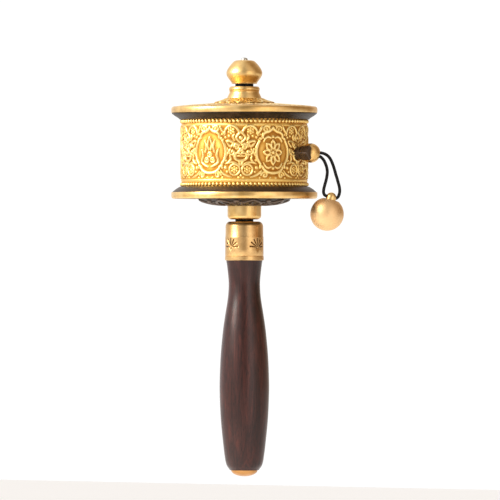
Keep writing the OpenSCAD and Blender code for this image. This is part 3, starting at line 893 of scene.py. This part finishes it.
def make_bead_row(name, node):
    """A row of round beads, each about half sunk in the barrel's edge, with painted shade on its sides where
    it turns in towards the barrel and its neighbours.
    """
    height = (base(node) + top(node)) / 2
    r = (top(node) - base(node)) / 2
    out = BARREL_R - 0.5 * MM
    count = 92
    unit = [(0, -1)] + arc(0, 0, 1, 1, -67.5, 67.5, 6) + [(0, 1)]
    ball, ball_faces = spun([(a * r * 0.9, b * r) for a, b in unit], 14)
    points, faces, raised = [], [], []
    for k in range(count):
        turn = 2 * math.pi * k / count
        c, s = math.cos(turn), math.sin(turn)
        start = len(points)
        points += [(px + out * c, py + out * s, pz + height) for px, py, pz in ball]
        # painted shade: each bead darkens as its surface turns away from the outside
        raised += [0.95 * max(0.0, (px * c + py * s) / r) ** 0.6 for px, py, pz in ball]
        faces += [tuple(start + i for i in f) for f in ball_faces]
    new_piece(name, points, faces, "relief_gold", "drum", [node], raised, 180)


make_barrel()
make_bead_row("upper_beads", "upper_bead_ring")
make_bead_row("lower_beads", "lower_bead_ring")


# ---------------- covers, rosette and lotus ring

def petals(relief, count, tip, foot, wide, bar, high):
    """A round of pointed petals from v foot to v tip, each with a rib that is thickest at its foot."""
    reach = tip - foot
    edge = [(wide * x, foot + reach * y) for x, y in ((0.55, 0), (0.98, 0.35), (0.75, 0.68), (0, 1))]
    for k in range(count):
        u = k * relief.around / count
        mirrored(relief, u, edge, bar, high)
        rib = [(u, foot + reach * 0.12), (u, foot + reach * 0.72)]
        relief.stroke(rib, bar * 0.8, high * 0.8, (1.4, 0.4))


def make_top_cover():
    path = outline_of([(38.2, 203.25), (34.1, 203.6), (28.6, 204.05), (21.8, 204.5), (17.2, 204.9)])
    relief = Relief(2 * math.pi * 27.5, 21.4, 540, 64)
    petals(relief, 12, -8.9, 9.4, 6.1, 0.6, 0.6)
    for k in range(24):
        u = (k + 0.5) * relief.around / 24
        relief.curl(u, -8.2 if k % 2 else 7.6, 1.7, 90 * (k % 4), 1.2, 0.45, 0.5)
        relief.dome(u, 0.6 if k % 2 else 3.6, 0.8, 0.5)
    face = top("top_cover")
    rest = [(17.0 * MM, face), (7.9 * MM, face)] + outline_of([
        (7.9, 202.8), (26, 202.2), (31.6, 198), (31.6, 193.3), (33.6, 193.3), (33.6, 196.3), (35.6, 196.3),
        (36.4, 197.1), (38.1, 198.1), (39.3, 199.0), (39.75, 199.35), (39.9, 199.6), (39.8, 199.85),
        (38.9, 199.9), (38.9, 203.1),
    ])
    embossed("lotus_cover", path, rest, relief, 0.7, "antique_dark", "drum", ["top_cover"], 0.36, gilt=True,
             sharp_turn=40)


def make_bottom_cover():
    outline = outline_of([
        (7.9, 152.8), (27.2, 152.8), (27.6, 153.1), (28.2, 153.1), (28.6, 152.8), (36.6, 152.8),
        (36.9, 153.0), (37.3, 153.0), (37.6, 152.8), (38.9, 152.8), (38.9, 156.3), (39.5, 156.32),
        (39.55, 156.45), (39.4, 156.6), (38.0, 157.8), (36.5, 158.8), (35.6, 159.3), (33.6, 159.3),
        (33.6, 162.3), (31.6, 162.3), (31.6, 157.6), (28.5, 154.6), (7.9, 154.6),
    ])
    points, faces = spun(outline, 360)
    new_piece("dished_floor", points, faces, "antique_dark", "drum", ["bottom_cover"],
              np.full(len(points), 0.72), 28)


def make_rosette():
    """The rosette underneath: eight broad petals, with scrolls and buds between them."""
    path = outline_of([(10.2, 149.4), (14, 149.65), (17.5, 150), (20.3, 150.6), (23.4, 151.5),
                       (25.5, 152.4)])
    relief = Relief(2 * math.pi * 18, 16.0, 400, 64)
    petals(relief, 8, 7.4, -6.6, 5.6, 0.8, 0.95)
    for k in range(8):
        u = (k + 0.5) * relief.around / 8
        relief.dome(u, 5.6, 1.5, 1.0)
        relief.curl(u - 2.4, 2.6, 1.8, 0, 1.1, 0.55, 0.8)
        relief.curl(u + 2.4, 2.6, 1.8, 180, -1.1, 0.55, 0.8)
        relief.dome(u, -4.6, 1.2, 0.8)
        relief.dome(u + relief.around / 16, -0.6, 1.4, 0.9)
    rest = outline_of([(25.6, 152.8), (8.0, 152.8), (8.0, 149.0), (9.8, 149.0)])
    embossed("embossed_rosette", path, rest, relief, 0.85, "antique_dark", "drum", ["underside_rosette"],
             0.4, sharp_turn=75)


def make_lotus_ring():
    path = outline_of([(16.7, 205.25), (16.4, 205.6), (15.3, 205.9), (13.2, 206.5), (11.6, 207.05),
                       (10.6, 207.6)])
    relief = Relief(2 * math.pi * 13.5, 7.0, 400, 40, 2.1)
    petals(relief, 16, -3.0, 3.0, 2.3, 0.38, 0.7)
    rest = outline_of([(10.2, 208.0), (9.6, 208.1), (7.9, 208.1), (7.9, 205.2), (16.6, 205.2)])
    embossed("petal_ring", path, rest, relief, 0.45, "relief_gold", "drum", ["lotus_ring"], 0.8,
             sharp_turn=70)


make_top_cover()
make_bottom_cover()
make_rosette()
make_lotus_ring()


# ---------------- the engraved ferrule

def make_ferrule():
    """A rounded-over sleeve with a band at its foot and fans of cut strokes round its middle."""
    low, high = base("ferrule"), top("ferrule")
    wide = radius("ferrule")
    h = lambda up_mm: low + up_mm * MM
    band = wide - 0.12 * MM
    path = [(band, h(6.5)), (band, h(12.7))]
    relief = Relief(2 * math.pi * band / MM, 6.2, 560, 52)
    fans = 4
    first_fan_degrees = -13
    foot_v = -2.3
    for k in range(fans):
        u = (first_fan_degrees / 360 + k / fans) * relief.around
        for t in np.radians(range(-84, 85, 28)):
            across, up = math.sin(t), math.cos(t)
            ray = [(u + 1.4 * across, foot_v + 1.2 * up), (u + 4.8 * across, foot_v + 4.7 * up)]
            relief.stroke(ray, 0.44, 0.6, (0.5, 1.15))
        relief.ring(u, -2.4, 0.8, 0.3, 0.5)
    shoulder = band - 0.15 * MM
    rest = [(shoulder, h(13.1))]
    rest += arc(shoulder - 2.4 * MM, high - 3.2 * MM, 2.4 * MM, 3.2 * MM, 12, 90, 9)
    rest += [(3.0 * MM, high), (3.0 * MM, high - 3.2 * MM), (8.6 * MM, high - 3.2 * MM), (8.6 * MM, low),
             (band - 0.1 * MM, low), (wide - 0.04 * MM, h(0.15)), (wide, h(0.5)), (wide, h(2.2)),
             (wide - 0.3 * MM, h(2.35)), (band, h(2.6)), (band, h(6.2))]
    embossed("engraved_ferrule", path, rest, relief, -0.36, "ferrule_brass", "handle", ["ferrule"], 1.0,
             cut=True, sharp_turn=36)


make_ferrule()


# ---------------- boss, bead and weight

def turned_to(points, place, direction):
    """Points drawn about +Z, moved so that their zero is at place and +Z looks along direction."""
    turn = np.array(direction.to_track_quat("Z", "Y").to_matrix())
    return np.array(points, float) @ turn.T + np.array(place)


def joined(*parts):
    """Several (points, faces) as one pair."""
    points, faces = [], []
    for more, more_faces in parts:
        start = len(points)
        points += [tuple(p) for p in more]
        faces += [tuple(start + i for i in f) for f in more_faces]
    return points, faces


def make_boss():
    """A dark square block standing on its corner, cut flat beside the bead, on a round stem."""
    height = (base("cord_boss") + top("cord_boss")) / 2
    corners_mm = [(0, 4.1), (-4.1, 0), (0, -4.1), (2.2, -1.9), (2.2, 1.9)]
    softness_mm = 0.28
    section = []
    for i, corner in enumerate(corners_mm):
        here = np.array(corner)
        for towards in (corners_mm[i - 1], corners_mm[(i + 1) % len(corners_mm)]):
            way = np.array(towards) - here
            section.append(here + way / np.linalg.norm(way) * softness_mm)
    # each ring: distance out from the spindle in millimetres, and the share of the full section there
    rings = [(37.3, 0.93), (37.55, 1.0), (42.75, 1.0), (43.0, 0.93)]
    block = [(x * MM, y * share * MM, height + z * share * MM) for x, share in rings for y, z in section]
    sides = len(section)
    faces = [tuple(range(sides))[::-1], *grid_faces(len(rings), sides), tuple(range(3 * sides, 4 * sides))]
    stem, stem_faces = spun(outline_of([(2.5, 31.6), (3.3, 31.6), (3.3, 37.4), (2.5, 37.4)], 0), 64)
    stem = turned_to(stem, (0, 0, height), Vector((1, 0, 0)))
    points, faces = joined((block, faces), (stem, stem_faces))
    new_piece("square_boss", points, faces, "antique_dark", "drum", ["cord_boss"],
              np.full(len(points), 0.85), 30)


def make_bead():
    """A ball beside the boss with a flared mouth, hollow where the cord is knotted."""
    r, mouth, bore, room = 5.35 * MM, 2.45 * MM, 1.95 * MM, 2.62 * MM
    lip = math.sqrt(r**2 - mouth**2)
    outline = [(0, -r)] + arc(0, 0, r, r, -86, math.degrees(math.atan2(lip, mouth)), 44)
    outline += [(mouth - 0.2 * MM, lip - 0.25 * MM), (bore, lip - 1.1 * MM)]
    outline += arc(0, 0, room, room, math.degrees(math.acos(bore / room)), -84, 16) + [(0, -room)]
    points, faces = spun(outline, 112)
    droop = math.radians(8)
    mouth_way = CORD_OUT * math.cos(droop) - Vector((0, 0, math.sin(droop)))
    points = turned_to(points, BEAD, mouth_way)
    new_piece("round_bead", points, faces, "polished_gold", "drum", ["cord_bead"])


def make_weight():
    """A ball with a small flat on top; the domed eye on it is the CAD node itself."""
    r, flat = 9.2 * MM, 8.0 * MM
    lean = math.radians(14.5)
    up = CORD_OUT * math.sin(lean) + Vector((0, 0, math.cos(lean)))
    centre = EYE - up * 9.5 * MM
    edge = math.sqrt(r**2 - flat**2)
    outline = [(0, -r)] + arc(0, 0, r, r, -87, math.degrees(math.asin(flat / r)) - 2, 80)
    outline += [(edge - 0.15 * MM, flat), (0, flat)]
    points, faces = spun(outline, 144)
    points = turned_to(points, centre, up)
    new_piece("ball_weight", points, faces, "polished_gold", "weight", ["weight_ball"], np.ones(len(points)))


make_boss()
make_bead()
make_weight()


# ---------------- the other CAD nodes' finishes

def dress_cad_nodes():
    """Gives each CAD node its slot's material, and rounds its shading."""
    for part in frame["record"]["subparts"]:
        node = frame["nodes"][part["node"]]
        node.data.materials.clear()
        node.data.materials.append(MATERIALS[part["material_slot"]])
        node.data.shade_smooth()
        node.data.set_sharp_from_angle(angle=math.radians(28))


dress_cad_nodes()


# ---------------- studio

def make_floor():
    """A wide pale floor, a gap below the butt."""
    half, gap = 3.0, 0.12
    corners = [(x * half, y * half, BUTT - gap) for x, y in ((-1, -1), (1, -1), (1, 1), (-1, 1))]
    mesh = bpy.data.meshes.new("floor")
    mesh.from_pydata(corners, [], [(0, 1, 2, 3)])
    floor = bpy.data.objects.new("floor", mesh)
    bpy.context.scene.collection.objects.link(floor)
    s = Shader("floor", Base_Color=(0.86, 0.86, 0.86, 1), Roughness=0.9, Specular_IOR_Level=0.1,
               Emission_Color=(1, 1, 1, 1), Emission_Strength=0.25)
    mesh.materials.append(s.material)


def make_world():
    """A pale studio: white behind the object and to its left, dimmer and warmer elsewhere."""
    world = bpy.data.worlds.new("studio")
    world.use_nodes = True
    bpy.context.scene.world = world
    tree = world.node_tree
    background = tree.nodes["Background"]
    direction = add_node(tree, "ShaderNodeTexCoord", {}).outputs["Generated"]
    front, right = (add_node(tree, "ShaderNodeVectorMath", {0: direction, 1: axis},
                             operation="DOT_PRODUCT").outputs["Value"]
                    for axis in (TOWARDS_CAMERA, CAMERA_RIGHT))
    turn = add_node(tree, "ShaderNodeMath", {0: right, 1: front}, operation="ARCTAN2").outputs[0]
    share = add_node(tree, "ShaderNodeMapRange", {"Value": turn, "From Min": -math.pi, "From Max": math.pi})
    ramp = add_node(tree, "ShaderNodeValToRGB", {"Fac": share.outputs["Result"]})
    # each stop: degrees round from the camera's side (right is positive), brightness, warmth
    stops = []
    for degrees, level, warmth in (
        (-180, 1.0, 0), (-95, 1.0, 0), (-74, 0.95, 0), (-66, 0.45, 0.2), (-57, 0.80, 0), (-40, 1.0, 0),
        (-24, 0.95, 0), (-13, 0.38, 0.2), (10, 0.30, 0.3), (20, 0.55, 0.4), (32, 0.90, 0.4),
        (62, 0.92, 0.6), (80, 0.36, 1.2), (120, 0.32, 1.3), (150, 0.74, 0.7), (180, 1.0, 0),
    ):
        colour = (level, level * (1 - 0.24 * warmth), level * (1 - 0.46 * warmth))
        stops.append(((degrees + 180) / 360, colour))
    set_stops(ramp, stops)
    tree.links.new(ramp.outputs["Color"], background.inputs["Color"])
    background.inputs["Strength"].default_value = 1.05


def add_softbox(name, place, aim, size, power, colour=(1, 1, 1)):
    data = bpy.data.lights.new(name, "AREA")
    data.shape = "RECTANGLE"
    data.size, data.size_y = size
    data.energy = power
    data.color = colour
    light = bpy.data.objects.new(name, data)
    bpy.context.scene.collection.objects.link(light)
    light.location = place
    light.rotation_euler = (aim - place).to_track_quat("-Z", "Y").to_euler()


make_floor()
make_world()
DRUM_CENTRE = Vector((0, 0, (BARREL_BASE + BARREL_TOP) / 2))
KEY_PLACE = DRUM_CENTRE + TOWARDS_CAMERA * 0.28 - CAMERA_RIGHT * 0.62 + Vector((0, 0, 0.36))
FILL_PLACE = DRUM_CENTRE + TOWARDS_CAMERA * 0.8 + CAMERA_RIGHT * 0.5 + Vector((0, 0, 0.1))
add_softbox("key", KEY_PLACE, DRUM_CENTRE, (0.35, 0.5), 10.0, (1.0, 0.97, 0.90))
add_softbox("fill", FILL_PLACE, DRUM_CENTRE, (0.5, 0.7), 1.2)
bpy.context.scene.view_settings.view_transform = "Standard"


import json
